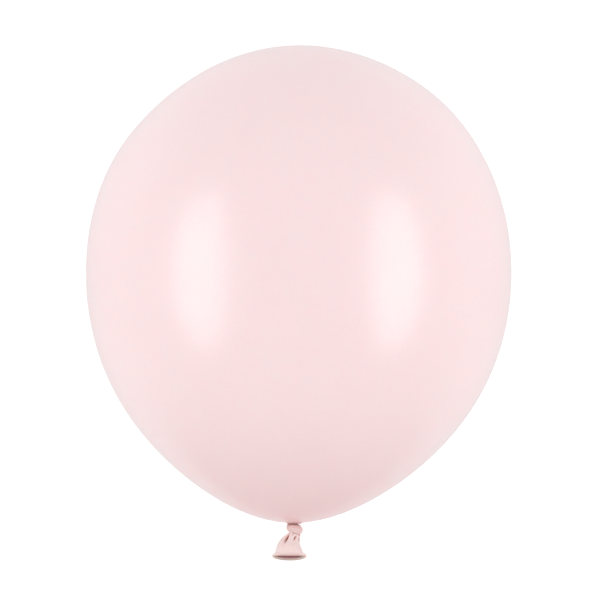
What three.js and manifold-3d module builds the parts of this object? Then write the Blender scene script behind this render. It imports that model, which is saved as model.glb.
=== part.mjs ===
// A party balloon of latex, blown up and tied.
//
// The balloon is dipped as one skin, and tying it divides that skin into the stretches modelled here:
// the thin pear-shaped bubble that holds the gas, the throat where it gathers into pleats, an overhand
// knot (a core of pleats, the turn wrapped round it and the strand that crosses the turn on its way
// out), and the loose tail of unstretched neck, a flattened sleeve that ends in a rolled lip.
//
// Millimetres, +Z up. The origin is on the neck's axis where the bubble ends and the throat begins,
// which is where a ribbon is tied. The front is towards -Y, and the tail's mouth leans that way.

import * as THREE from "three";
import { mergeVertices } from "three/addons/utils/BufferGeometryUtils.js";
import Module from "manifold-3d";

// ---- Sizes ----

const CLEARANCE = 0.3; // between stretches that meet, so that each stays a solid of its own

// Bubble
const BUBBLE_WIDTH = 300;
const BUBBLE_HEIGHT = 337;
const SKIN_WALL = 0.2;
const SHOULDER = 0.048; // lifts the fullest ring above mid-height
const TAPER = 0.057; // draws the lower half in towards the neck
const END_PULL = 0.112; // pulls both ends in from a plain ellipse

// Throat
const GATHER_WIDTH = 11.2; // where the skin starts to gather
const THROAT_WIDTH = 6; // its narrowest place
const THROAT_LENGTH = 0.7;
const PLEATS = 11;
const PLEAT_DEPTH = 0.14; // share of the radius

// Knot
const KNOT_WIDTH = 11.2; // at its shoulder
const KNOT_FOOT_WIDTH = 8.8;
const KNOT_HEIGHT = 6.3;
const TURN_THICKNESS = 1.5; // of the turn's rubber, at its foot
const TURN_SLOPE = 6; // degrees that the knot sits out of level, lower on the right
const KNOT_SWING = 12; // degrees that the knot tilts either way
const CROSSING_WIDTH = 2.4;
const CROSSING_SINK = 0.8; // how far the crossing strand lies in the turn's face

// Tail
const TAIL_LENGTH = 13.8; // from its hinge line to the middle of the lip
const TAIL_LEAN = 28; // degrees that the mouth leans to the front
const SLEEVE_WALL = 0.4;
const ROOT_WIDTH = 10;
const ROOT_DEPTH = 4;
const LIP_WIDTH = 24.7;
const LIP_DEPTH = 11.6;
const BEAD = 2.1; // thickness of the rolled rubber
const ROOT_SHIFT = -1; // the root's middle, to the left of the neck's axis
const MOUTH_SHIFT = -3; // the mouth's middle, likewise
const TAIL_BULGE = 2.3; // how much further left the sleeve bows between them

const LATEX_PINK = 0xf6dcdc;
const NECK_PINK = 0xf0cfcb;
const LIP_PINK = 0xe6c0b6;

// ---- Places that follow from the sizes ----

const throatFoot = -THROAT_LENGTH;
const mostTilt = THREE.MathUtils.degToRad(KNOT_SWING + TURN_SLOPE);
const turnTop = throatFoot - (THROAT_WIDTH / 2) * Math.tan(mostTilt) - CLEARANCE;
const turnDip = (KNOT_FOOT_WIDTH / 2) * Math.sin(THREE.MathUtils.degToRad(TURN_SLOPE));
const coreRadius = KNOT_FOOT_WIDTH / 2 - TURN_THICKNESS - CLEARANCE;
const coneSlope = 1.1 * Math.tan(mostTilt); // so that the core clears the throat too
const tailHinge = turnTop - KNOT_HEIGHT - turnDip - CLEARANCE - ROOT_DEPTH / 2;
const sleeveWidth = LIP_WIDTH - 2 * BEAD + 2 * SLEEVE_WALL;
const sleeveDepth = LIP_DEPTH - 2 * BEAD + 2 * SLEEVE_WALL;

// ---- Shape helpers ----

// A surface through oval rings, from the first row to the last. A row gives its height, its half width
// along X, its half depth along Y, and optionally a shift along X and the depth of its pleats.
function ovalLoft(rows, segments) {
  const outline = rows.map((row) => new THREE.Vector2(row.width > 0 ? 1 : 0, row.z));
  const geometry = new THREE.LatheGeometry(outline, segments);
  geometry.rotateX(Math.PI / 2);
  const places = geometry.getAttribute("position");
  for (let i = 0; i < places.count; i++) {
    const { width, depth, shift = 0, pleat = 0 } = rows[i % rows.length];
    const around = Math.atan2(places.getY(i), places.getX(i));
    const fold = 1 - pleat * (0.5 - 0.5 * Math.cos(PLEATS * around));
    places.setXY(i, places.getX(i) * width * fold + shift, places.getY(i) * depth * fold);
  }
  return geometry;
}

function roundRow(radius, z, pleat) {
  return { z, width: radius, depth: radius, pleat };
}

function steps(count) {
  return Array.from({ length: count + 1 }, (_, i) => i / count);
}

function solidOf(wasm, geometry) {
  const bare = new THREE.BufferGeometry();
  bare.setAttribute("position", geometry.getAttribute("position"));
  bare.setIndex(geometry.index);
  const merged = mergeVertices(bare, 1e-3);
  return new wasm.Manifold(
    new wasm.Mesh({
      numProp: 3,
      vertProperties: new Float32Array(merged.getAttribute("position").array),
      triVerts: new Uint32Array(merged.index.array),
    }),
  );
}

function geometryOf(solid) {
  const { vertProperties, triVerts } = solid.getMesh();
  const geometry = new THREE.BufferGeometry();
  geometry.setAttribute("position", new THREE.BufferAttribute(vertProperties, 3));
  geometry.setIndex(new THREE.BufferAttribute(triVerts, 1));
  geometry.computeVertexNormals();
  return geometry;
}

function piece(name, geometry, color, roughness) {
  const material = new THREE.MeshStandardMaterial({ color, roughness, metalness: 0 });
  const mesh = new THREE.Mesh(geometry, material);
  mesh.name = name;
  return mesh;
}

// ---- Bubble ----

// The outline's radius at an angle counted from the crown: an ellipse with its fullest ring lifted,
// its lower half tapered and its two ends pulled in.
function bubbleRadius(halfWidth, angle) {
  const rise = Math.cos(angle);
  const shape = 1 + SHOULDER * rise + TAPER * rise ** 3 - END_PULL * rise ** 4;
  return halfWidth * Math.sin(angle) * shape;
}

// The angle at which the outline has come in to the gathered edge.
function gatherAngle(halfWidth) {
  let low = Math.PI / 2;
  let high = Math.PI;
  for (let i = 0; i < 40; i++) {
    const middle = (low + high) / 2;
    if (bubbleRadius(halfWidth, middle) > GATHER_WIDTH / 2) low = middle;
    else high = middle;
  }
  return low;
}

// Rows of one face of the skin, inset from the outer face, from the gathered edge up to the crown.
function bubbleRows(inset, count) {
  const halfWidth = BUBBLE_WIDTH / 2 - inset;
  const halfHeight = BUBBLE_HEIGHT / 2 - inset;
  const lowest = gatherAngle(halfWidth);
  return steps(count).map((t) => {
    const angle = lowest * (1 - t);
    const radius = t === 1 ? 0 : bubbleRadius(halfWidth, angle);
    return roundRow(radius, BUBBLE_HEIGHT / 2 + halfHeight * Math.cos(angle));
  });
}

function bubbleSkin() {
  const outer = bubbleRows(0, 18);
  const inner = bubbleRows(SKIN_WALL, 18);
  return ovalLoft([...inner.reverse(), ...outer], 40);
}

// ---- Throat ----

// A pleated funnel inside the skin's gathered edge. Its foot is the narrowest place.
function gatheredThroat() {
  const rim = GATHER_WIDTH / 2 - CLEARANCE;
  const foot = THROAT_WIDTH / 2;
  const top = 2 * SKIN_WALL;
  const flare = steps(5).map((t) => {
    const radius = rim + (foot - rim) * Math.sqrt(t);
    return roundRow(radius, throatFoot * t, PLEAT_DEPTH * t);
  });
  return ovalLoft(
    [roundRow(0, throatFoot), ...flare.reverse(), roundRow(rim, top), roundRow(0, top)],
    44,
  );
}

// ---- Knot ----

// The bundle of pleats inside the turn. Its coned top leaves the throat room as the knot swings.
function knotCore() {
  const apex = throatFoot - CLEARANCE;
  const shoulder = apex - coreRadius * coneSlope;
  const foot = turnTop - KNOT_HEIGHT;
  const rows = [
    roundRow(0, foot),
    roundRow(coreRadius, foot, PLEAT_DEPTH),
    roundRow(coreRadius, shoulder, PLEAT_DEPTH),
    roundRow(0, apex),
  ];
  return ovalLoft(rows, 44);
}

// Radius of the turn's face, from its shoulder (0) to its foot (1).
function turnRadius(fall) {
  return THREE.MathUtils.lerp(KNOT_WIDTH, KNOT_FOOT_WIDTH, fall) / 2;
}

// Section of the turn: a tall band with round edges, narrower at its foot.
function turnRows() {
  const inside = coreRadius + CLEARANCE;
  const round = TURN_THICKNESS * 0.45;
  const corner = (radius, z, from) =>
    steps(4).map((t) => {
      const angle = from + (t * Math.PI) / 2;
      return roundRow(radius + round * Math.cos(angle), z + round * Math.sin(angle));
    });
  const foot = corner(turnRadius(1) - round, turnTop - KNOT_HEIGHT + round, -Math.PI / 2);
  const shoulder = corner(turnRadius(0) - round, turnTop - round, 0);
  const rows = [roundRow(inside, turnTop), roundRow(inside, turnTop - KNOT_HEIGHT)];
  return [...rows, ...foot, ...shoulder, rows[0]];
}

// The line of the crossing strand: from the left of the turn's shoulder to the front of its foot.
class CrossingLine extends THREE.Curve {
  getPoint(t, target = new THREE.Vector3()) {
    const angle = THREE.MathUtils.degToRad(190 + 70 * t);
    const fall = 0.26 + 0.5 * t * t;
    const radius = turnRadius(fall) + CROSSING_WIDTH / 2 - CROSSING_SINK;
    return target.set(
      radius * Math.cos(angle),
      radius * Math.sin(angle),
      turnTop - KNOT_HEIGHT * fall,
    );
  }
}

function crossingGeometry(width, reach) {
  const section = new THREE.Shape().absarc(0, 0, width / 2, 0, 2 * Math.PI);
  const line = new CrossingLine();
  const places = steps(10).map((t) => line.getPoint(0.5 + (t - 0.5) * reach));
  const extrudePath = new THREE.CatmullRomCurve3(places);
  return new THREE.ExtrudeGeometry(section, { steps: 10, curveSegments: 8, extrudePath });
}

function knotTurn(wasm) {
  const band = solidOf(wasm, ovalLoft(turnRows(), 36));
  const groove = solidOf(wasm, crossingGeometry(CROSSING_WIDTH + 2 * CLEARANCE, 1.25));
  return geometryOf(band.subtract(groove));
}

// ---- Tail ----

// A row of the sleeve below the hinge line, in the tail's own frame, from its root (0) to its mouth (1).
function sleeveRow(t, length, inset) {
  const flare = t ** 0.6;
  const bow = TAIL_BULGE * Math.sin(Math.PI * flare);
  return {
    z: -length * t,
    width: THREE.MathUtils.lerp(ROOT_WIDTH, sleeveWidth, flare) / 2 - inset,
    depth: THREE.MathUtils.lerp(ROOT_DEPTH, sleeveDepth, t * t * (3 - 2 * t)) / 2 - inset,
    shift: THREE.MathUtils.lerp(ROOT_SHIFT, MOUTH_SHIFT, t) - bow,
  };
}

// A flattened sleeve, open at the mouth. Its root is rounded about the hinge line, so that it turns
// under the knot without meeting it.
function tailSleeve() {
  const length = TAIL_LENGTH - BEAD / 2 - CLEARANCE;
  const outer = steps(8).map((t) => sleeveRow(t, length, 0));
  const inner = steps(6).map((t) => sleeveRow(0.15 + 0.85 * t, length, SLEEVE_WALL));
  const dome = steps(3)
    .slice(1)
    .map((t) => {
      const angle = (t * Math.PI) / 2;
      return {
        z: (ROOT_DEPTH / 2) * Math.sin(angle),
        width: t === 1 ? 0 : (ROOT_WIDTH / 2) * Math.sqrt(Math.cos(angle)),
        depth: (ROOT_DEPTH / 2) * Math.cos(angle),
        shift: ROOT_SHIFT,
      };
    });
  const roof = { ...inner[0], width: 0, depth: 0 };
  return ovalLoft([roof, ...inner, ...outer.reverse(), ...dome], 36);
}

// The bead round the mouth: a round section carried round an oval.
function rolledLip() {
  const points = steps(40)
    .slice(1)
    .map((t) => {
      const angle = 2 * Math.PI * t;
      const x = MOUTH_SHIFT + ((LIP_WIDTH - BEAD) / 2) * Math.cos(angle);
      return new THREE.Vector3(x, ((LIP_DEPTH - BEAD) / 2) * Math.sin(angle), -TAIL_LENGTH);
    });
  const line = new THREE.CatmullRomCurve3(points, true);
  return new THREE.TubeGeometry(line, 40, BEAD / 2, 10, true);
}

// ---- Assembly ----

const wasm = await Module();
wasm.setup();

const knot = new THREE.Group();
knot.position.z = turnTop;
knot.rotation.y = THREE.MathUtils.degToRad(TURN_SLOPE);
for (const mesh of [
  piece("knot_core", knotCore(), NECK_PINK, 0.45),
  piece("knot_turn", knotTurn(wasm), NECK_PINK, 0.45),
  piece("crossing_strand", crossingGeometry(CROSSING_WIDTH, 1), NECK_PINK, 0.45),
]) {
  mesh.position.z = -turnTop;
  knot.add(mesh);
}

const tail = new THREE.Group();
tail.position.z = tailHinge;
tail.rotation.x = THREE.MathUtils.degToRad(-TAIL_LEAN);
tail.add(
  piece("tail_sleeve", tailSleeve(), NECK_PINK, 0.5),
  piece("rolled_lip", rolledLip(), LIP_PINK, 0.5),
);

const balloon = new THREE.Group();
balloon.add(
  piece("bubble_skin", bubbleSkin(), LATEX_PINK, 0.3),
  piece("gathered_throat", gatheredThroat(), NECK_PINK, 0.4),
  knot,
  tail,
);

export default balloon;
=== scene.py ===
"""The looks of a tied latex balloon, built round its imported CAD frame.

The CAD model gives the sizes, the places and the joints. This add-on grows the rubber over it: the
stretched skin with its puckers, the pleated throat, the knot's turn and crossing strand, the creased
neck below it and the rolled lip, and then the studio that they are shown in.

Shapes are worked out in millimetres as rings of points, and turned into metres as each mesh is made.
The front is towards -Y, and angles round the neck are counted from +X, so the front is at 270 degrees.
"""

import math

import bpy
import numpy as np
from bpy.props import FloatProperty, FloatVectorProperty, IntProperty, PointerProperty
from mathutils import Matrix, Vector


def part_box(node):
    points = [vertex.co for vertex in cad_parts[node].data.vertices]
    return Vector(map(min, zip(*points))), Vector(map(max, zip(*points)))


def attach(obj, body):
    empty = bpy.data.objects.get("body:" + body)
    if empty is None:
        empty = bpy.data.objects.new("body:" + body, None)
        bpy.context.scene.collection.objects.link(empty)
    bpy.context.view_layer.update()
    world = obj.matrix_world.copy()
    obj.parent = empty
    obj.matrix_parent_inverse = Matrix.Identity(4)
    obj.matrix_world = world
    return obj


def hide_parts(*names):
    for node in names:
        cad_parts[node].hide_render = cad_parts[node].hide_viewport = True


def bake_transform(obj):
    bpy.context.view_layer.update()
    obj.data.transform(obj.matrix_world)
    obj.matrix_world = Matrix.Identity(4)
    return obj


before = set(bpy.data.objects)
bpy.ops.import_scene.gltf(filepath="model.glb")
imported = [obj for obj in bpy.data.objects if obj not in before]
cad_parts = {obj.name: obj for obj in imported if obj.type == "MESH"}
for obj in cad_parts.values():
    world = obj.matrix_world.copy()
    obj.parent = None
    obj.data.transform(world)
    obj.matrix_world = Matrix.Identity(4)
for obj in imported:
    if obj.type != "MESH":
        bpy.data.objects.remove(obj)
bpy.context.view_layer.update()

bl_info = {
    "name": "Latex Balloon",
    "version": (1, 0, 0),
    "blender": (4, 5, 0),
    "location": "3D Viewport > Sidebar > Balloon",
    "description": "Builds a tied latex balloon round its packed frame",
    "category": "Object",
}

MM = 0.001
CIRCLE = 2 * math.pi
MOUTH_LEAN = math.radians(28)  # how far the mouth leans to the front
SHOULDER = 0.048  # lifts the fullest ring above mid-height
TAPER = 0.057  # draws the lower half in towards the neck
END_PULL = 0.112  # pulls both ends in from a plain ellipse
FINE_GRAIN = (900, 0.02)  # of the rubber that isn't stretched: features per metre, millimetres high
PLEAT_SEED = 11  # shared by the bubble's edge and the throat, so that their pleats run on
NECK_COLUMNS = 384

# The turn's half girth and how far it sits to the side, from its top (0) to its foot (1).
TURN_FALL = (0, 0.36, 0.85, 1)
TURN_GIRTH = (5.2, 5.8, 5.1, 4.5)
TURN_OFFSET = (-0.1, 0.65, 0.45, 0.1)
TURN_BULGE = 1.5  # how far its rubber rounds out from its core

# The strand that comes out from under the turn: its path, the way it faces, its widths and thicknesses.
STRAND_PATH = (
    (-1.5, -1.0, -4.6),
    (-1.5, -1.9, -6.0),
    (-1.3, -2.65, -7.4),
    (-1.6, -2.9, -9.0),
    (-2.0, -2.9, -10.8),
    (-2.4, -2.7, -12.8),
)
STRAND_OUTWARDS = (
    (-0.40, -0.85, 0.3),
    (-0.30, -0.90, 0.3),
    (-0.20, -0.95, 0.2),
    (-0.10, -0.95, 0.1),
    (-0.10, -0.95, 0.3),
    (-0.10, -0.90, 0.4),
)
STRAND_WIDTHS = (3.0, 3.4, 3.7, 3.4, 3.0, 2.4)
STRAND_THICKNESSES = (1.6, 2.0, 2.3, 2.2, 1.6, 0.8)

LIP_HALF_DEPTH = 4.05  # to the middle of the bead

# The studio, in metres: where the camera looks, and the soft boxes' place, size and power in watts.
VIEW_MIDDLE = Vector((0.0045, 0, 0.1573))
BOX_ASIDE, BOX_TO_FRONT, BOX_RISE = 1.2, 0.94, 0.04
BOX_SIZE = (0.8, 1.8)
BOX_POWER = 10.4
FLOOR_RADIUS, FLOOR_DROP = 1.6, 1.3

# How bright the room is: in front and behind, above and below against level, and as the camera sees it.
FRONT_GLOW, BACK_GLOW = 0.41, 0.625
POLE_GAIN = 1.68
BACKDROP_GLOW = 1.1


# ---- Places taken from the frame, in millimetres ----


def node_box(node):
    """The lowest and highest corners of a CAD node, in millimetres."""
    low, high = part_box(node)
    return np.array(low) / MM, np.array(high) / MM


BUBBLE_LOW, BUBBLE_HIGH = node_box("bubble_skin")
LIP_LOW, LIP_HIGH = node_box("rolled_lip")


# ---- Curves and fields ----


def smooth(t):
    """Eases from 0 to 1 as t does."""
    t = np.clip(t, 0.0, 1.0)
    return t * t * (3 - 2 * t)


def hump(x, width):
    """A bell of height 1 about x = 0."""
    return np.exp(-((np.asarray(x) / width) ** 2))


def turn_gap(a, b):
    """The signed angle from b to a, in radians."""
    return (np.asarray(a) - b + math.pi) % CIRCLE - math.pi


def through(places, values, at):
    """A smooth curve through the values given at a few places, read at others."""
    places = np.asarray(places, dtype=float)
    values = np.asarray(values, dtype=float)
    slopes = np.gradient(values, places, axis=0)
    at = np.asarray(at, dtype=float)
    k = np.clip(np.searchsorted(places, at) - 1, 0, len(places) - 2)
    span = places[k + 1] - places[k]
    t = (at - places[k]) / span
    shape = (-1,) + (1,) * (values.ndim - 1)
    t, span = t.reshape(shape), span.reshape(shape)
    ends = (2 * t**3 - 3 * t**2 + 1) * values[k] + (3 * t**2 - 2 * t**3) * values[k + 1]
    turns = (t**3 - 2 * t**2 + t) * slopes[k] + (t**3 - t**2) * slopes[k + 1]
    return ends + span * turns


def rounded(angle, power):
    """Cosine and sine of an angle, squared off as on a superellipse."""
    c, s = np.cos(angle), np.sin(angle)
    return np.sign(c) * np.abs(c) ** power, np.sign(s) * np.abs(s) ** power


def wander(angle, seed, harmonics=(1, 2, 3, 5), size=1.0):
    """A slow random wave round a ring."""
    rng = np.random.default_rng(seed)
    wave = 0
    for n in harmonics:
        wave = wave + rng.uniform(-1, 1) / n * np.cos(n * angle + rng.uniform(0, CIRCLE))
    return size * wave


def pleat_field(angle, seed, count):
    """Irregular valleys round a ring, 0 on the ridges and up to 1 in the valleys."""
    rng = np.random.default_rng(seed)
    places = (np.arange(count) + rng.uniform(-0.3, 0.3, count)) * CIRCLE / count
    widths = rng.uniform(0.16, 0.3, count) * CIRCLE / count
    depths = rng.uniform(0.45, 1.0, count)
    field = np.zeros_like(angle)
    for place, width, depth in zip(places, widths, depths):
        field = np.maximum(field, depth * hump(turn_gap(angle, place), width))
    return field


# ---- Meshes ----


def ring_mesh(name, rings, shade_and_thickness=None, closed=False):
    """A closed skin through rings of points: rings[row, column] = (x, y, z) in millimetres.

    The last column joins the first. The end rows are capped, or joined to each other if closed.
    The weight given last, from 0 to 1, colours the latex: mostly painted shade in creases and under edges,
    painted light on the neck's inner face, and on the bubble also its thicker latex at the crown and the
    throat.
    """
    rows, columns, _ = rings.shape
    index = np.arange(rows * columns).reshape(rows, columns)
    if closed:
        index = np.vstack([index, index[:1]])
    after = np.roll(index, -1, axis=1)
    quads = np.stack([index[:-1], after[:-1], after[1:], index[1:]], axis=-1).reshape(-1, 4)
    points = rings.reshape(-1, 3)
    faces = quads.tolist()
    if not closed:
        for row, flip in ((0, True), (rows - 1, False)):
            centre = len(points)
            points = np.vstack([points, rings[row].mean(axis=0)])
            for a, b in zip(index[row], after[row]):
                faces.append((b, a, centre) if flip else (a, b, centre))
    mesh = bpy.data.meshes.new(name)
    mesh.from_pydata((points * MM).tolist(), [], faces)
    # The painted shade weight (with the bubble's thickness) is stored on each point for the latex to read.
    depth = np.zeros(len(points), dtype=np.float32)
    if shade_and_thickness is not None:
        depth[: rows * columns] = np.clip(shade_and_thickness, 0, 1).reshape(-1)
    mesh.attributes.new("shade_and_thickness", "FLOAT", "POINT").data.foreach_set("value", depth)
    mesh.polygons.foreach_set("use_smooth", np.ones(len(mesh.polygons), dtype=bool))
    if signed_volume(mesh) < 0:
        mesh.flip_normals()
    mesh.update()
    piece = bpy.data.objects.new(name, mesh)
    bpy.context.scene.collection.objects.link(piece)
    return piece


def signed_volume(mesh):
    """The volume that a closed mesh holds, negative if its faces point in."""
    mesh.calc_loop_triangles()
    corners = np.empty(len(mesh.vertices) * 3)
    mesh.vertices.foreach_get("co", corners)
    corners = corners.reshape(-1, 3)
    triangles = np.empty(len(mesh.loop_triangles) * 3, dtype=np.int32)
    mesh.loop_triangles.foreach_get("vertices", triangles)
    a, b, c = (corners[triangles.reshape(-1, 3)[:, i]] for i in range(3))
    return float(np.einsum("ij,ij->i", a, np.cross(b, c)).sum() / 6)


# ---- Latex ----


def noise(tree, place, scale, detail=3.0, roughness=0.5):
    """A noise texture in object space. scale is in features per metre."""
    texture = tree.nodes.new("ShaderNodeTexNoise")
    texture.inputs["Scale"].default_value = scale
    texture.inputs["Detail"].default_value = detail
    texture.inputs["Roughness"].default_value = roughness
    tree.links.new(place, texture.inputs["Vector"])
    return texture.outputs["Fac"]


def ranged(tree, value, low, high, new_low, new_high):
    """value, taken along a straight line that takes one range to another."""
    slope = (new_high - new_low) / (high - low)
    line = tree.nodes.new("ShaderNodeMath")
    line.operation = "MULTIPLY_ADD"
    tree.links.new(value, line.inputs[0])
    line.inputs[1].default_value = slope
    line.inputs[2].default_value = new_low - slope * low
    return line.outputs["Value"]


def tinted(tree, share, first, second):
    """A colour between two others. Each is a socket or a plain colour."""
    mix = tree.nodes.new("ShaderNodeMix")
    mix.data_type = "RGBA"
    tree.links.new(share, mix.inputs["Factor"])
    for socket, colour in ((mix.inputs["A"], first), (mix.inputs["B"], second)):
        if isinstance(colour, bpy.types.NodeSocket):
            tree.links.new(colour, socket)
        else:
            socket.default_value = (*colour, 1.0)
    return mix.outputs["Result"]


def latex(name, colour, deep, gloss, grain, scatter, film=0.0):
    """Dipped latex: cloudy pigment, a dipped grain, and a second colour mixed in by the mesh's weight:
    painted shade in creases and under edges (painted light on the neck's inner face), and deeper colour
    where it is thick.

    gloss is (lowest, highest) roughness, grain is (features per metre, height in millimetres) of the
    bump, scatter is how much of the light goes in and comes out again nearby, and film is the share of
    a smooth film over it.
    """
    material = bpy.data.materials.new(name)
    material.use_nodes = True
    tree = material.node_tree
    shader = tree.nodes["Principled BSDF"]
    place = tree.nodes.new("ShaderNodeTexCoord").outputs["Object"]

    # The mesh's weight: painted shade, and on the bubble the thicker latex too.
    shade_and_thickness = tree.nodes.new("ShaderNodeAttribute")
    shade_and_thickness.attribute_name = "shade_and_thickness"
    clouds = ranged(tree, noise(tree, place, 24, 4), 0.3, 0.7, 0.0, 0.05)
    specks = ranged(tree, noise(tree, place, 420, 3), 0.35, 0.65, 0.0, 0.05)
    cloudy = tinted(tree, clouds, colour, deep)
    speckled = tinted(tree, specks, cloudy, deep)
    tree.links.new(tinted(tree, shade_and_thickness.outputs["Fac"], speckled, deep), shader.inputs["Base Color"])

    patches = noise(tree, place, 60, 3)
    tree.links.new(ranged(tree, patches, 0.3, 0.7, *gloss), shader.inputs["Roughness"])

    bump = tree.nodes.new("ShaderNodeBump")
    bump.inputs["Strength"].default_value = 1.0
    bump.inputs["Distance"].default_value = grain[1] * MM
    tree.links.new(noise(tree, place, grain[0], 3, 0.55), bump.inputs["Height"])
    tree.links.new(bump.outputs["Normal"], shader.inputs["Normal"])

    shader.inputs["IOR"].default_value = 1.52
    shader.inputs["Coat Weight"].default_value = film
    shader.inputs["Coat Roughness"].default_value = 0.2
    shader.inputs["Subsurface Weight"].default_value = scatter
    shader.inputs["Subsurface Radius"].default_value = (1.0, 0.45, 0.4)
    shader.inputs["Subsurface Scale"].default_value = 2.2 * MM
    return material


def wear(piece, material):
    piece.data.materials.clear()
    piece.data.materials.append(material)


# ---- Settings ----


class BalloonSkinSettings(bpy.types.PropertyGroup):
    """The bubble and the throat that it gathers into."""

    colour: FloatVectorProperty(
        name="Skin colour",
        description="Colour of the stretched latex",
        subtype="COLOR",
        size=3,
        min=0,
        max=1,
        default=(0.94, 0.75, 0.76),
    )
    # Mixed in where the latex is thicker, and as painted shade in the pleats' valleys near the throat.
    thick_and_shade_colour: FloatVectorProperty(
        name="Deep colour",
        description="Colour where the latex is thick or folded",
        subtype="COLOR",
        size=3,
        min=0,
        max=1,
        default=(0.93, 0.51, 0.52),
    )
    width: FloatProperty(
        name="Width",
        description="Widest diameter of the bubble",
        subtype="DISTANCE",
        unit="LENGTH",
        default=float(BUBBLE_HIGH[0] - BUBBLE_LOW[0]) * MM,
    )
    height: FloatProperty(
        name="Height",
        description="From the throat to the crown",
        subtype="DISTANCE",
        unit="LENGTH",
        default=float(BUBBLE_HIGH[2]) * MM,
    )
    pleats: IntProperty(
        name="Pleats",
        description="Pleats that the skin gathers into at the throat",
        min=5,
        max=40,
        default=17,
    )


class BalloonNeckSettings(bpy.types.PropertyGroup):
    """The knot and the loose neck below it."""

    colour: FloatVectorProperty(
        name="Neck colour",
        description="Colour of the latex that isn't stretched",
        subtype="COLOR",
        size=3,
        min=0,
        max=1,
        default=(0.97, 0.80, 0.78),
    )
    # Painted shade: the dark colour put in the creases, in the throat and along the knot's wrinkles and
    # edges.
    thick_and_shade_colour: FloatVectorProperty(
        name="Crease colour",
        description="Colour inside the creases",
        subtype="COLOR",
        size=3,
        min=0,
        max=1,
        default=(0.46, 0.17, 0.13),
    )
    lip_colour: FloatVectorProperty(
        name="Lip colour",
        description="Colour of the rolled lip",
        subtype="COLOR",
        size=3,
        min=0,
        max=1,
        default=(0.95, 0.80, 0.775),
    )
    # Painted shade on the rolled lip's underside and in the step of its roll.
    lip_under_shade_colour: FloatVectorProperty(
        name="Lip's under colour",
        description="Colour of the rolled lip's underside, where it is thickest",
        subtype="COLOR",
        size=3,
        min=0,
        max=1,
        default=(0.50, 0.365, 0.31),
    )
    # Painted shade: the dark colour of the neck's inner face, which lies in shade.
    inside_shade_colour: FloatVectorProperty(
        name="Inside colour",
        description="Colour of the neck's inner face",
        subtype="COLOR",
        size=3,
        min=0,
        max=1,
        default=(0.38, 0.14, 0.18),
    )
    wall: FloatProperty(
        name="Wall",
        description="Thickness of the neck's rubber",
        subtype="DISTANCE",
        unit="LENGTH",
        default=0.4 * MM,
    )
    bead: FloatProperty(
        name="Bead",
        description="Thickness of the rolled lip",
        subtype="DISTANCE",
        unit="LENGTH",
        default=2.1 * MM,
    )


class BalloonStageSettings(bpy.types.PropertyGroup):
    """The studio."""

    distance: FloatProperty(
        name="Camera distance",
        description="From the camera to the bubble's axis",
        subtype="DISTANCE",
        unit="LENGTH",
        default=2.5,
    )
    field: FloatProperty(
        name="Field",
        description="Width of the view at the bubble's axis",
        subtype="DISTANCE",
        unit="LENGTH",
        default=0.4239,
    )
    floor_colour: FloatVectorProperty(
        name="Floor colour",
        description="Colour of the plain floor",
        subtype="COLOR",
        size=3,
        min=0,
        max=1,
        default=(0.77, 0.76, 0.75),
    )


# ---- Bubble ----


def bubble_outline(angle):
    """Share of the half width at an angle from the crown, before it is scaled to the widest ring."""
    rise = np.cos(angle)
    return np.sin(angle) * (1 + SHOULDER * rise + TAPER * rise**3 - END_PULL * rise**4)


def bubble_rings(skin, columns=384, rows=205):
    """Rings from the crown down to the gathered edge, then curled under into the throat.

    Above the neck the rings shift a little to the right.
    """
    half_width = skin.width / MM / 2 / bubble_outline(np.linspace(0.5, 2.5, 400)).max()
    half_height = skin.height / MM / 2
    edge = 6.0  # radius of the gathered edge
    angles = np.linspace(math.pi / 2, math.pi, 4000)
    last = angles[np.searchsorted(-half_width * bubble_outline(angles), -edge)]
    angle = last * (1 - (1 - np.linspace(0.004, 1, rows)) ** 1.5)
    radius = half_width * bubble_outline(angle)
    height = half_height * (1 + np.cos(angle))
    curl = np.linspace(0, 1, 15)[1:]
    turned = 1.35 * math.pi * curl
    radius = np.append(radius, edge - 0.7 * np.sin(turned) - 1.1 * curl)
    height = np.append(height, height[-1] - 0.42 * (1 - np.cos(turned)) + 0.5 * curl**2)

    around = np.arange(columns) * CIRCLE / columns
    pleats = pleat_field(around, PLEAT_SEED, skin.pleats)
    pull = np.exp(-np.maximum(radius - edge, 0) / 5.5)[:, None]
    ripple = np.exp(-np.maximum(radius - edge, 0) / 16.0)[:, None]
    low_side = height[:, None] < half_height
    depth = np.where(low_side, 0.75 * pull * pleats[None] + 0.2 * ripple * pleats[None], 0)

    r = radius[:, None] - 0.55 * depth
    x = r * np.cos(around)[None]
    y = r * np.sin(around)[None]
    z = height[:, None] + 0.85 * depth
    droop = 0.65 * pull**3 * hump(turn_gap(around, math.radians(345)), 0.5)[None]
    z = z - np.where(low_side, droop, 0)
    shift = 3.6 * (1 - np.exp(-np.maximum(height, 0) / 38)) + 2 * hump(height - 305, 35)
    rings = np.stack([x + shift[:, None], y, z], axis=-1)
    # The colour deepens at the crown and above the neck, where the latex is thicker; in the low half the
    # pleats' valleys get painted shade, and it deepens towards the gathered edge.
    thick = 0.56 * np.exp(-np.maximum(height, 0) / 34) + 0.14 * np.exp((height - height[0]) / 30)
    shade_and_thickness = np.where(low_side, 0.4 * depth + 0.15 * pull, 0) + thick[:, None]
    return rings, shade_and_thickness


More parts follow.
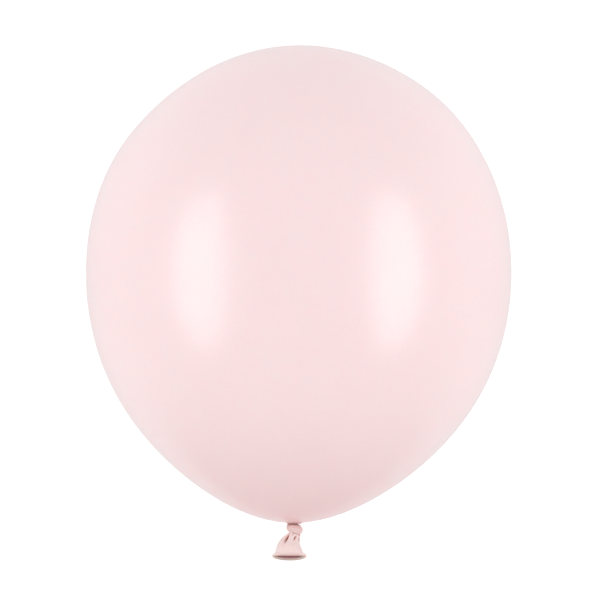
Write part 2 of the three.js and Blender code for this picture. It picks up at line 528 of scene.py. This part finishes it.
class BALLOON_OT_add_bubble(bpy.types.Operator):
    """Add the stretched skin that holds the gas"""

    bl_idname = "balloon.add_bubble"
    bl_label = "Add Bubble"

    def execute(self, context):
        skin = context.scene.balloon_skin
        rings, shade_and_thickness = bubble_rings(skin)
        bubble = ring_mesh("bubble", rings, shade_and_thickness)
        rubber = latex(
            "stretched_latex", skin.colour, skin.thick_and_shade_colour, (0.30, 0.36), (140, 0.008), 0.35, film=0.4
        )
        wear(bubble, rubber)
        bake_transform(bubble)
        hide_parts("bubble_skin")
        return {"FINISHED"}


# ---- Throat ----


def throat_rings(skin, columns=288):
    """A pleated column from inside the bubble down into the knot, with one full pleat at its left."""
    height = np.linspace(1.6, -3.6, 60)
    radius = through((-3.6, -1.5, -0.5, 0.4, 1.6), (3.3, 3.5, 3.2, 4.0, 5.2), height)
    around = np.arange(columns) * CIRCLE / columns
    pleats = pleat_field(around, PLEAT_SEED, skin.pleats)
    full = hump(turn_gap(around, math.radians(190)), 0.45)[None] * hump(height + 0.5, 1.5)[:, None]
    r = radius[:, None] * (1 - 0.2 * pleats[None]) + 1.6 * full
    twist = 0.05 * height[:, None]
    x = r * np.cos(around[None] + twist)
    y = r * np.sin(around[None] + twist)
    rings = np.stack([x, y, height[:, None] + 0 * x], axis=-1)
    # Painted shade: the throat is coloured mostly in the dark crease colour, darker still in the pleats'
    # valleys and paler on the full pleat.
    return rings, (0.8 + 0.6 * pleats[None]) * (1 - 0.85 * full)


class BALLOON_OT_add_throat(bpy.types.Operator):
    """Add the pleated throat between the bubble and the knot"""

    bl_idname = "balloon.add_throat"
    bl_label = "Add Throat"

    def execute(self, context):
        skin = context.scene.balloon_skin
        neck = context.scene.balloon_neck
        rings, shade_and_thickness = throat_rings(skin)
        throat = ring_mesh("throat", rings, shade_and_thickness)
        wear(throat, latex("throat_latex", neck.colour, neck.thick_and_shade_colour, (0.35, 0.45), FINE_GRAIN, 0.3))
        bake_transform(throat)
        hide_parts("gathered_throat")
        return {"FINISHED"}


# ---- Knot ----


# Wrinkles along the turn: how far down its face each one lies, how deep and how wide it is.
TURN_WRINKLES = (
    (0.15, 0.30, 0.028),
    (0.26, 0.12, 0.030),
    (0.39, 0.17, 0.034),
    (0.52, 0.12, 0.030),
    (0.65, 0.16, 0.036),
    (0.79, 0.14, 0.034),
)


def turn_foot(around):
    """The height of the turn's lower edge, lower on the right."""
    side = np.cos(around)
    return -6.9 - 1.15 * side - 0.8 * side**2 + wander(around, 4, size=0.1)


def turn_rings(columns=320, section=128):
    """The turn wrapped round the knot: a tall band, wider at its shoulder, wrinkled along its length."""
    around = np.arange(columns) * CIRCLE / columns
    side = np.cos(around)
    top = -0.9 - 0.15 * side - 0.6 * side**2 + wander(around, 3, size=0.1)
    foot = turn_foot(around)
    middle = (top + foot) / 2
    half_height = (top - foot) / 2
    v = np.arange(section) * CIRCLE / section
    out, up = rounded(v, 0.66)
    fall = (1 - up) / 2
    girth = through(TURN_FALL, TURN_GIRTH, fall)[:, None]
    offset = through(TURN_FALL, TURN_OFFSET, fall)[:, None]
    r = girth - TURN_BULGE + TURN_BULGE * out[:, None]

    fall = fall[:, None]
    groove = 0
    for n, (at, depth, width) in enumerate(TURN_WRINKLES):
        line = at + wander(around, 20 + n, harmonics=(1, 2, 3), size=0.04)
        strength = 0.7 + wander(around, 40 + n, harmonics=(2, 3, 5), size=0.45)
        groove = groove + depth * np.clip(strength, 0.1, 1.2)[None] * hump(fall - line[None], width)
    outside = smooth(out[:, None] * 2)
    cross = 0.05 * pleat_field(around, 51, 23)[None] * smooth(fall * 1.5)
    r = r - (groove + cross) * outside

    x = r * np.cos(around)[None] + offset
    y = r * np.sin(around)[None] * 0.97
    z = middle[None] + half_height[None] * up[:, None]
    rings = np.stack([x, y, z], axis=-1).transpose(1, 0, 2)
    # Painted shade along the wrinkles and in bands at the turn's top and foot, over a light even tint of
    # the crease colour.
    edge_shade = 0.22 * smooth((fall - 0.9) / 0.1) + 0.45 * smooth(1 - fall / 0.09)
    return rings, (0.12 + 2.1 * groove * outside + edge_shade).T


def strand_rings(columns=72, rows=90):
    """The flattened strand, with fine folds along its length."""
    t = np.linspace(0, 1, rows)
    stations = np.linspace(0, 1, len(STRAND_PATH))
    centre = through(stations, STRAND_PATH, t)
    width = through(stations, STRAND_WIDTHS, t)[:, None]
    thick = through(stations, STRAND_THICKNESSES, t)[:, None]
    normal = through(stations, STRAND_OUTWARDS, t)
    along = np.gradient(centre, axis=0)
    along /= np.linalg.norm(along, axis=1, keepdims=True)
    normal -= (normal * along).sum(axis=1, keepdims=True) * along
    normal /= np.linalg.norm(normal, axis=1, keepdims=True)
    across = np.cross(along, normal)
    v = np.arange(columns) * CIRCLE / columns
    c, s = rounded(v, 0.85)
    valleys = pleat_field(v, 60, 10)[None]
    dent = 1 - 0.16 * valleys * (0.6 + 0.4 * np.sin(7 * t + 1.0))[:, None]
    rings = (
        centre[:, None]
        + across[:, None] * (width / 2 * c[None] * dent)[..., None]
        + normal[:, None] * (thick / 2 * s[None] * dent)[..., None]
    )
    # Painted shade in the strand's valleys, over a light even tint of the crease colour.
    return rings, 0.06 + 0.8 * valleys + 0 * t[:, None]


class BALLOON_OT_add_knot(bpy.types.Operator):
    """Add the knot: the turn and the strand that crosses it"""

    bl_idname = "balloon.add_knot"
    bl_label = "Add Knot"

    def execute(self, context):
        neck = context.scene.balloon_neck
        rubber = latex("knot_latex", neck.colour, neck.thick_and_shade_colour, (0.36, 0.46), FINE_GRAIN, 0.3)

        rings, shade_and_thickness = turn_rings()
        turn = ring_mesh("knot_turn_rubber", rings, shade_and_thickness, closed=True)
        wear(turn, rubber)
        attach(turn, "knot")
        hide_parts("knot_turn", "knot_core")

        rings, shade_and_thickness = strand_rings()
        strand = ring_mesh("crossing_strand_rubber", rings, shade_and_thickness)
        wear(strand, rubber)
        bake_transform(strand)
        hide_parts("crossing_strand")
        return {"FINISHED"}


# ---- Neck below the knot ----

# Stations down the neck: height, middle to the side, middle to the front, half width, half depth.
NECK_STATIONS = (
    (-6.6, 0.4, -0.2, 3.3, 3.1),
    (-8.2, -0.4, -0.5, 4.9, 3.3),
    (-9.6, -1.35, -0.9, 6.0, 3.3),
    (-11.9, -2.5, -1.7, 7.0, 3.2),
    (-15.0, -3.5, -3.0, 7.95, 3.2),
    (-18.0, -3.4, -4.5, 9.1, 3.6),
    (-21.0, -3.15, -5.8, 10.1, 4.1),
    (-22.6, -3.0, -6.35, 10.9, 4.5),
)

# Creases down the neck: the angle round it where each starts, how far the angle slides by its end,
# its depth as a share of the half width, its half width, and how far down the neck it starts,
# is deepest and ends.
NECK_CREASES = (
    (240, 8, 0.56, 0.20, -0.2, 0.38, 0.68),
    (307, -7, 0.43, 0.17, 0.20, 0.36, 0.56),
    (338, 3, 0.50, 0.16, 0.26, 0.40, 0.54),
    (25, -6, 0.35, 0.17, -0.2, 0.18, 0.50),
    (62, 5, 0.42, 0.20, -0.2, 0.16, 0.62),
    (98, 3, 0.30, 0.16, -0.2, 0.20, 0.48),
    (135, -5, 0.44, 0.20, -0.2, 0.18, 0.58),
    (168, 4, 0.28, 0.15, -0.2, 0.15, 0.40),
    (205, -6, 0.22, 0.14, -0.2, 0.14, 0.36),
)


def neck_rings(inset, start, rows):
    """Rings of one face of the neck. inset moves the face in, and start is how far down it starts."""
    stations = np.array(NECK_STATIONS)
    u = np.linspace(0, 1, len(stations))
    t = np.linspace(start, 1, rows)
    height, mid_x, mid_y, half_x, half_y = through(u, stations, t).T
    lean = MOUTH_LEAN * smooth(t * 1.15)
    around = np.arange(NECK_COLUMNS) * CIRCLE / NECK_COLUMNS
    dent = 0
    for degrees, slide, depth, width, begins, deepest, ends in NECK_CREASES:
        fade = smooth((t - begins) / (deepest - begins)) * (1 - smooth((t - deepest) / (ends - deepest)))
        place = np.radians(degrees + slide * smooth(t / ends)) + 0.03 * np.sin(9 * t + degrees)
        narrow = width * (0.8 + 0.5 * t)[:, None]
        valley = hump(turn_gap(around[None], place[:, None]), narrow)
        dent = dent + depth * fade[:, None] * valley
    fine = pleat_field(around, 91, 31)[None] * (1 - smooth(t / 0.8))[:, None]
    fullness = 1 + 0.035 * np.cos(3 * around + 0.6)[None] * (1 - t[:, None])
    grow = (1 - dent - 0.035 * fine) * fullness
    c, s = rounded(around, 0.92)
    across = (half_x[:, None] - inset) * c[None] * grow
    front = (half_y[:, None] - inset) * s[None] * grow
    x = mid_x[:, None] + across
    y = mid_y[:, None] + front * np.cos(lean)[:, None]
    z = height[:, None] - front * np.sin(lean)[:, None]
    # Painted shadow just below the turn's foot, and painted shade in the creases and fine pleats.
    turn_shadow = smooth((z - turn_foot(around)[None] + 0.9) / 0.9)
    shade_and_thickness = smooth((dent - 0.05) / 0.36) + 0.06 * fine + 0.6 * turn_shadow
    return np.stack([x, y, z], axis=-1), np.clip(shade_and_thickness, 0, 1)


class BALLOON_OT_add_neck(bpy.types.Operator):
    """Add the loose neck below the knot"""

    bl_idname = "balloon.add_neck"
    bl_label = "Add Neck"

    def execute(self, context):
        neck = context.scene.balloon_neck
        outer, outer_shade = neck_rings(0, 0.0, 130)
        inner, _ = neck_rings(neck.wall / MM, 0.42, 70)
        rings = np.concatenate([outer, inner[::-1]])
        # The inner face gets painted shade in the dark inside colour, with painted light towards the
        # mouth's sides.
        sides = np.abs(np.cos(np.arange(NECK_COLUMNS) * CIRCLE / NECK_COLUMNS)) ** 9
        inner_painted_light = np.broadcast_to(0.8 * sides, inner.shape[:2])  # paler at the mouth's sides
        shade_and_thickness = np.concatenate([outer_shade, inner_painted_light])
        sleeve = ring_mesh("neck_sleeve", rings, shade_and_thickness)
        wear(sleeve, latex("neck_latex", neck.colour, neck.thick_and_shade_colour, (0.36, 0.46), FINE_GRAIN, 0.3))
        # The inner face's material: painted shade, mixed towards the neck's own colour by the painted
        # light.
        sleeve.data.materials.append(
            latex("inner_latex_painted_shade", neck.inside_shade_colour, neck.colour, (0.45, 0.55), FINE_GRAIN, 0.2)
        )
        slots = np.zeros(len(sleeve.data.polygons), dtype=np.int32)
        slots[len(outer) * outer.shape[1] :] = 1
        sleeve.data.polygons.foreach_set("material_index", slots)
        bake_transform(sleeve)
        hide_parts("tail_sleeve")
        return {"FINISHED"}


# ---- Lip ----


def lip_rings(bead, columns=40, rows=360):
    """The rolled bead, with the step where its last turn ends."""
    centre = (LIP_LOW + LIP_HIGH) / 2
    cos_lean, sin_lean = math.cos(MOUTH_LEAN), math.sin(MOUTH_LEAN)
    u = np.arange(rows) * CIRCLE / rows
    c, s = rounded(u, 0.9)
    half_x = (LIP_HIGH[0] - LIP_LOW[0] - bead) / 2
    half_y = LIP_HALF_DEPTH
    middle = np.stack([half_x * c, half_y * s * cos_lean, -half_y * s * sin_lean], axis=-1)
    middle[:, 2] += 0.35 * np.cos(2 * u)
    out = np.stack([c * half_y, s * half_x * cos_lean, -s * half_x * sin_lean], axis=-1)
    out /= np.linalg.norm(out, axis=1, keepdims=True)
    down = np.broadcast_to(np.array([0, -sin_lean, -cos_lean]), out.shape)
    v = np.arange(columns) * CIRCLE / columns
    step = hump(turn_gap(v, math.radians(200)), 0.22)[None]
    spread = bead / 2 * (1 + wander(u, 71, size=0.05))[:, None] * (1 - 0.13 * step)
    rings = (
        centre
        + middle[:, None]
        + out[:, None] * (spread * np.cos(v)[None])[..., None]
        + down[:, None] * (spread * np.sin(v)[None])[..., None]
    )
    # Painted shade: darker on the bead's underside, less so towards the mouth's ends, and in the step of
    # the roll.
    under = (0.5 + 0.5 * np.sin(v)[None]) * (1 - 0.25 * np.abs(c) ** 3)[:, None]
    return rings, 0.3 * step + under**2


class BALLOON_OT_add_lip(bpy.types.Operator):
    """Add the rolled lip round the mouth of the neck"""

    bl_idname = "balloon.add_lip"
    bl_label = "Add Lip"

    def execute(self, context):
        neck = context.scene.balloon_neck
        rings, shade_and_thickness = lip_rings(neck.bead / MM)
        lip = ring_mesh("lip_bead", rings, shade_and_thickness, closed=True)
        wear(lip, latex("lip_latex", neck.lip_colour, neck.lip_under_shade_colour, (0.38, 0.5), (900, 0.03), 0.4))
        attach(lip, "tail")
        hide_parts("rolled_lip")
        return {"FINISHED"}


# ---- Stage ----


def soft_box(name, place, aim, size, power):
    """An oval studio light that faces a point."""
    lamp = bpy.data.lights.new(name, "AREA")
    lamp.shape = "ELLIPSE"
    lamp.size, lamp.size_y = size
    lamp.energy = power
    light = bpy.data.objects.new(name, lamp)
    light.location = place
    light.rotation_euler = (Vector(aim) - Vector(place)).to_track_quat("-Z", "Y").to_euler()
    light.visible_camera = False
    bpy.context.scene.collection.objects.link(light)


def white_surroundings():
    """A white room, brighter behind the object, and above and below it, than in front."""
    world = bpy.data.worlds.new("white_room")
    world.use_nodes = True
    tree = world.node_tree
    background = tree.nodes["Background"]
    direction = tree.nodes.new("ShaderNodeTexCoord").outputs["Generated"]
    split = tree.nodes.new("ShaderNodeSeparateXYZ")
    tree.links.new(direction, split.inputs[0])
    glow = tree.nodes.new("ShaderNodeMath")
    glow.operation = "MULTIPLY"
    tree.links.new(ranged(tree, split.outputs["Y"], -0.9, 0.3, FRONT_GLOW, BACK_GLOW), glow.inputs[0])
    height = tree.nodes.new("ShaderNodeMath")
    height.operation = "ABSOLUTE"
    tree.links.new(split.outputs["Z"], height.inputs[0])
    tree.links.new(ranged(tree, height.outputs["Value"], 0.0, 1.0, 1.0, POLE_GAIN), glow.inputs[1])
    seen = tree.nodes.new("ShaderNodeLightPath").outputs["Is Camera Ray"]
    strength = tree.nodes.new("ShaderNodeMix")
    tree.links.new(seen, strength.inputs["Factor"])
    tree.links.new(glow.outputs["Value"], strength.inputs["A"])
    strength.inputs["B"].default_value = BACKDROP_GLOW
    tree.links.new(strength.outputs["Result"], background.inputs["Strength"])
    background.inputs["Color"].default_value = (1, 1, 1, 1)
    bpy.context.scene.world = world


def floor_disc(radius, height, colour):
    """A plain floor, far below, with its edge out of sight."""
    around = np.arange(96) * CIRCLE / 96
    mesh = bpy.data.meshes.new("floor")
    rim = [(radius * math.cos(a), radius * math.sin(a), height) for a in around]
    mesh.from_pydata(rim, [], [list(range(len(rim)))])
    material = bpy.data.materials.new("floor_paint")
    material.use_nodes = True
    shader = material.node_tree.nodes["Principled BSDF"]
    shader.inputs["Base Color"].default_value = (*colour, 1)
    shader.inputs["Roughness"].default_value = 0.9
    mesh.materials.append(material)
    floor = bpy.data.objects.new("floor", mesh)
    bpy.context.scene.collection.objects.link(floor)
    return floor


class BALLOON_OT_add_stage(bpy.types.Operator):
    """Add the floor, the lights and the camera"""

    bl_idname = "balloon.add_stage"
    bl_label = "Add Stage"

    def execute(self, context):
        stage = context.scene.balloon_stage
        white_surroundings()
        floor_disc(FLOOR_RADIUS, VIEW_MIDDLE.z - FLOOR_DROP, stage.floor_colour)
        for side, name in ((-1, "left_box"), (1, "right_box")):
            place = (side * BOX_ASIDE, -BOX_TO_FRONT, VIEW_MIDDLE.z + BOX_RISE)
            soft_box(name, place, VIEW_MIDDLE, BOX_SIZE, BOX_POWER)

        lens = bpy.data.cameras.new("camera")
        lens.sensor_width = 36
        lens.lens = lens.sensor_width * stage.distance / stage.field
        lens.clip_end = 100
        camera = bpy.data.objects.new("camera", lens)
        camera.location = VIEW_MIDDLE - Vector((0, stage.distance, 0))
        camera.rotation_euler = (math.radians(90), 0, 0)
        context.scene.collection.objects.link(camera)
        context.scene.camera = camera
        context.scene.view_settings.view_transform = "Standard"
        return {"FINISHED"}


# ---- Panel ----


class BALLOON_PT_build(bpy.types.Panel):
    """Builds the balloon piece by piece"""

    bl_label = "Latex Balloon"
    bl_idname = "BALLOON_PT_build"
    bl_space_type = "VIEW_3D"
    bl_region_type = "UI"
    bl_category = "Balloon"

    def draw(self, context):
        layout = self.layout
        for group in ("balloon_skin", "balloon_neck", "balloon_stage"):
            settings = getattr(context.scene, group)
            box = layout.box()
            for name in settings.bl_rna.properties.keys():
                if name not in ("rna_type", "name"):
                    box.prop(settings, name)
        for step in STEPS:
            layout.operator(f"balloon.{step}")


STEPS = ("add_bubble", "add_throat", "add_knot", "add_neck", "add_lip", "add_stage")

CLASSES = (
    BalloonSkinSettings,
    BalloonNeckSettings,
    BalloonStageSettings,
    BALLOON_OT_add_bubble,
    BALLOON_OT_add_throat,
    BALLOON_OT_add_knot,
    BALLOON_OT_add_neck,
    BALLOON_OT_add_lip,
    BALLOON_OT_add_stage,
    BALLOON_PT_build,
)


def register():
    for cls in CLASSES:
        bpy.utils.register_class(cls)
    bpy.types.Scene.balloon_skin = PointerProperty(type=BalloonSkinSettings)
    bpy.types.Scene.balloon_neck = PointerProperty(type=BalloonNeckSettings)
    bpy.types.Scene.balloon_stage = PointerProperty(type=BalloonStageSettings)


def unregister():
    del bpy.types.Scene.balloon_stage
    del bpy.types.Scene.balloon_neck
    del bpy.types.Scene.balloon_skin
    for cls in reversed(CLASSES):
        bpy.utils.unregister_class(cls)


def main():
    register()
    for step in STEPS:
        getattr(bpy.ops.balloon, step)()


if __name__ == "__main__":
    main()
